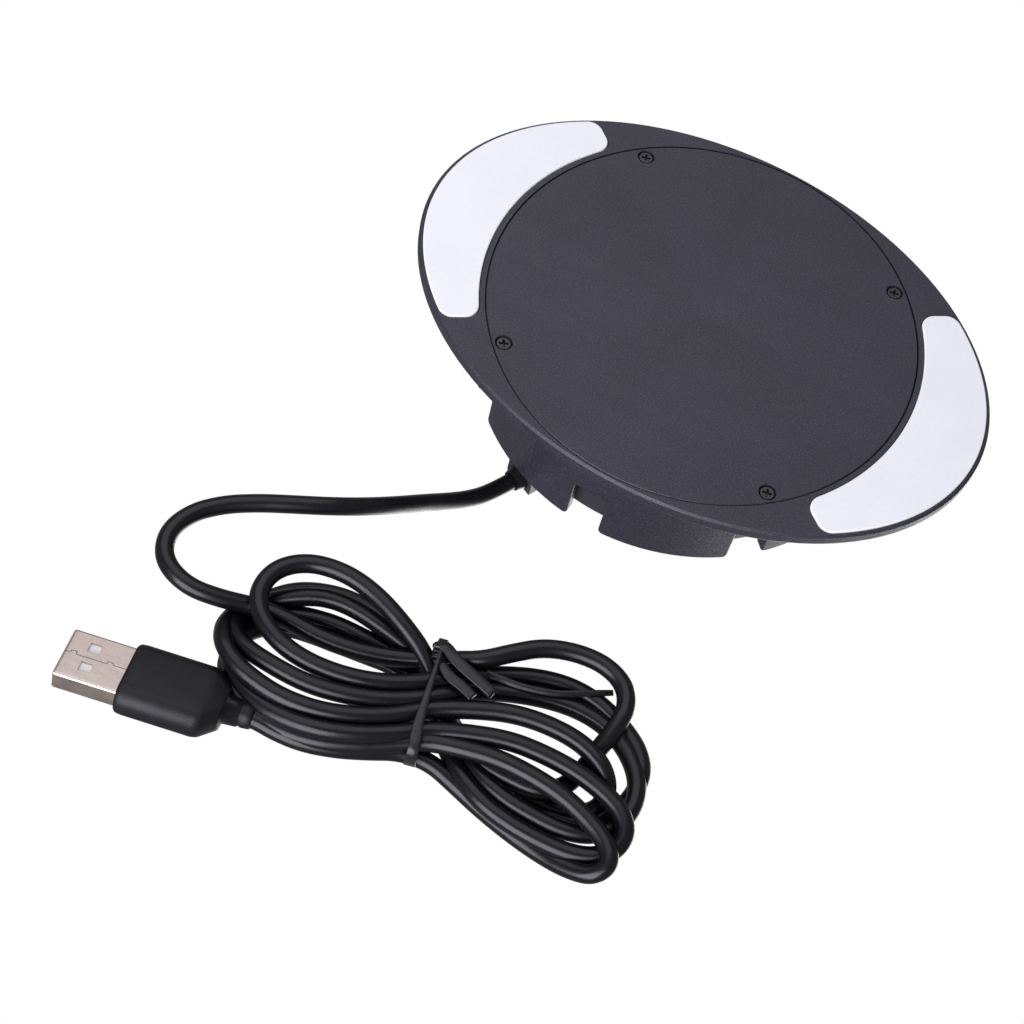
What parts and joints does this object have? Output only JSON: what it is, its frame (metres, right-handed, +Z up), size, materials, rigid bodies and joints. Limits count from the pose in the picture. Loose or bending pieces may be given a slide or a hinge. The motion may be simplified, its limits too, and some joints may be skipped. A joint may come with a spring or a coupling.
{
  "type": "trackball mouse",
  "caption": "Wired desk trackball: oval base with two glides, slotted round crown, quadrant buttons round a free ball, and a tied cable with a USB-A plug.",
  "frame": {"origin": "centre of the oval base, on the plane of the two glide pads' undersides", "axes": "+Z up through the ball; X along the oval's long axis; +Y to the rear, where the cable leaves"},
  "size_m": [0.134, 0.1979, 0.046],
  "materials": {
    "housing_plastic": "dark blue-grey, fine spark texture",
    "button_plastic": "dark grey, satin",
    "ring_plastic": "black, polished",
    "ball_resin": "polished deep red resin",
    "pad_plastic": "pale smooth glide plastic",
    "black_screw": "black oxide",
    "plated_screw": "zinc plated",
    "inner_plastic": "black",
    "bead_steel": "polished steel",
    "switch_plastic": "black switch body",
    "plunger_plastic": "red plunger",
    "board_laminate": "green lacquered laminate",
    "chip_epoxy": "black epoxy",
    "clear_lens": "clear",
    "connector_plastic": "white connector plastic",
    "cable_jacket": "black flexible jacket, satin sheen",
    "tie_plastic": "black tie",
    "plug_plastic": "black moulded plug",
    "plug_metal": "nickel plated steel",
    "contact_gold": "gold plated"
  },
  "bodies": {
    "base": {"base_shell": "housing_plastic", "right_pad": "pad_plastic", "left_pad": "pad_plastic", "bottom_cover": "housing_plastic", "cover_screws": "black_screw", "upper_shell": "housing_plastic", "switch_right": "switch_plastic", "switch_rear": "switch_plastic", "switch_left": "switch_plastic", "switch_front": "switch_plastic", "ball_housing": "inner_plastic", "support_beads": "bead_steel", "housing_screws": "plated_screw", "retaining_ring": "ring_plastic", "circuit_board": "board_laminate", "board_screws": "plated_screw", "sensor_chip": "chip_epoxy", "sensor_lens": "clear_lens", "lamp": "clear_lens", "controller_chip": "chip_epoxy", "crystal": "bead_steel", "capacitors": "inner_plastic", "board_socket": "connector_plastic", "cable_connector": "connector_plastic", "cord_lead": "cable_jacket", "cord_bush": "cable_jacket", "cord": "cable_jacket", "cord_hank": "cable_jacket", "twist_tie": "tie_plastic", "plug_body": "plug_plastic", "plug_shell": "plug_metal", "plug_tongue": "connector_plastic", "plug_contacts": "contact_gold"},
    "ball": {"ball": "ball_resin"},
    "button_right": {"button_right": "button_plastic"},
    "plunger_right": {"plunger_right": "plunger_plastic"},
    "button_rear": {"button_rear": "button_plastic"},
    "plunger_rear": {"plunger_rear": "plunger_plastic"},
    "button_left": {"button_left": "button_plastic"},
    "plunger_left": {"plunger_left": "plunger_plastic"},
    "button_front": {"button_front": "button_plastic"},
    "plunger_front": {"plunger_front": "plunger_plastic"}
  },
  "joints": [
    {"name": "ball_roll", "type": "hinge", "parent": "base", "child": "ball", "pos_m": [0, 0, 0.027], "axis": [1, 0, 0], "continuous": true},
    {"name": "button_right_press", "type": "slide", "parent": "base", "child": "button_right", "axis": [0, 0, -1], "range_m": [0, 0.0005], "stiffness_N_per_m": 600, "springref_m": -0.0006},
    {"name": "plunger_right_press", "type": "slide", "parent": "base", "child": "plunger_right", "axis": [0, 0, -1], "range_m": [0, 0.0005]},
    {"name": "button_rear_press", "type": "slide", "parent": "base", "child": "button_rear", "axis": [0, 0, -1], "range_m": [0, 0.0005], "stiffness_N_per_m": 600, "springref_m": -0.0006},
    {"name": "plunger_rear_press", "type": "slide", "parent": "base", "child": "plunger_rear", "axis": [0, 0, -1], "range_m": [0, 0.0005]},
    {"name": "button_left_press", "type": "slide", "parent": "base", "child": "button_left", "axis": [0, 0, -1], "range_m": [0, 0.0005], "stiffness_N_per_m": 600, "springref_m": -0.0006},
    {"name": "plunger_left_press", "type": "slide", "parent": "base", "child": "plunger_left", "axis": [0, 0, -1], "range_m": [0, 0.0005]},
    {"name": "button_front_press", "type": "slide", "parent": "base", "child": "button_front", "axis": [0, 0, -1], "range_m": [0, 0.0005], "stiffness_N_per_m": 600, "springref_m": -0.0006},
    {"name": "plunger_front_press", "type": "slide", "parent": "base", "child": "plunger_front", "axis": [0, 0, -1], "range_m": [0, 0.0005]}
  ],
  "couplings": [
    {"joint": "plunger_right_press", "follows": "button_right_press", "ratio": 1},
    {"joint": "plunger_rear_press", "follows": "button_rear_press", "ratio": 1},
    {"joint": "plunger_left_press", "follows": "button_left_press", "ratio": 1},
    {"joint": "plunger_front_press", "follows": "button_front_press", "ratio": 1}
  ]
}
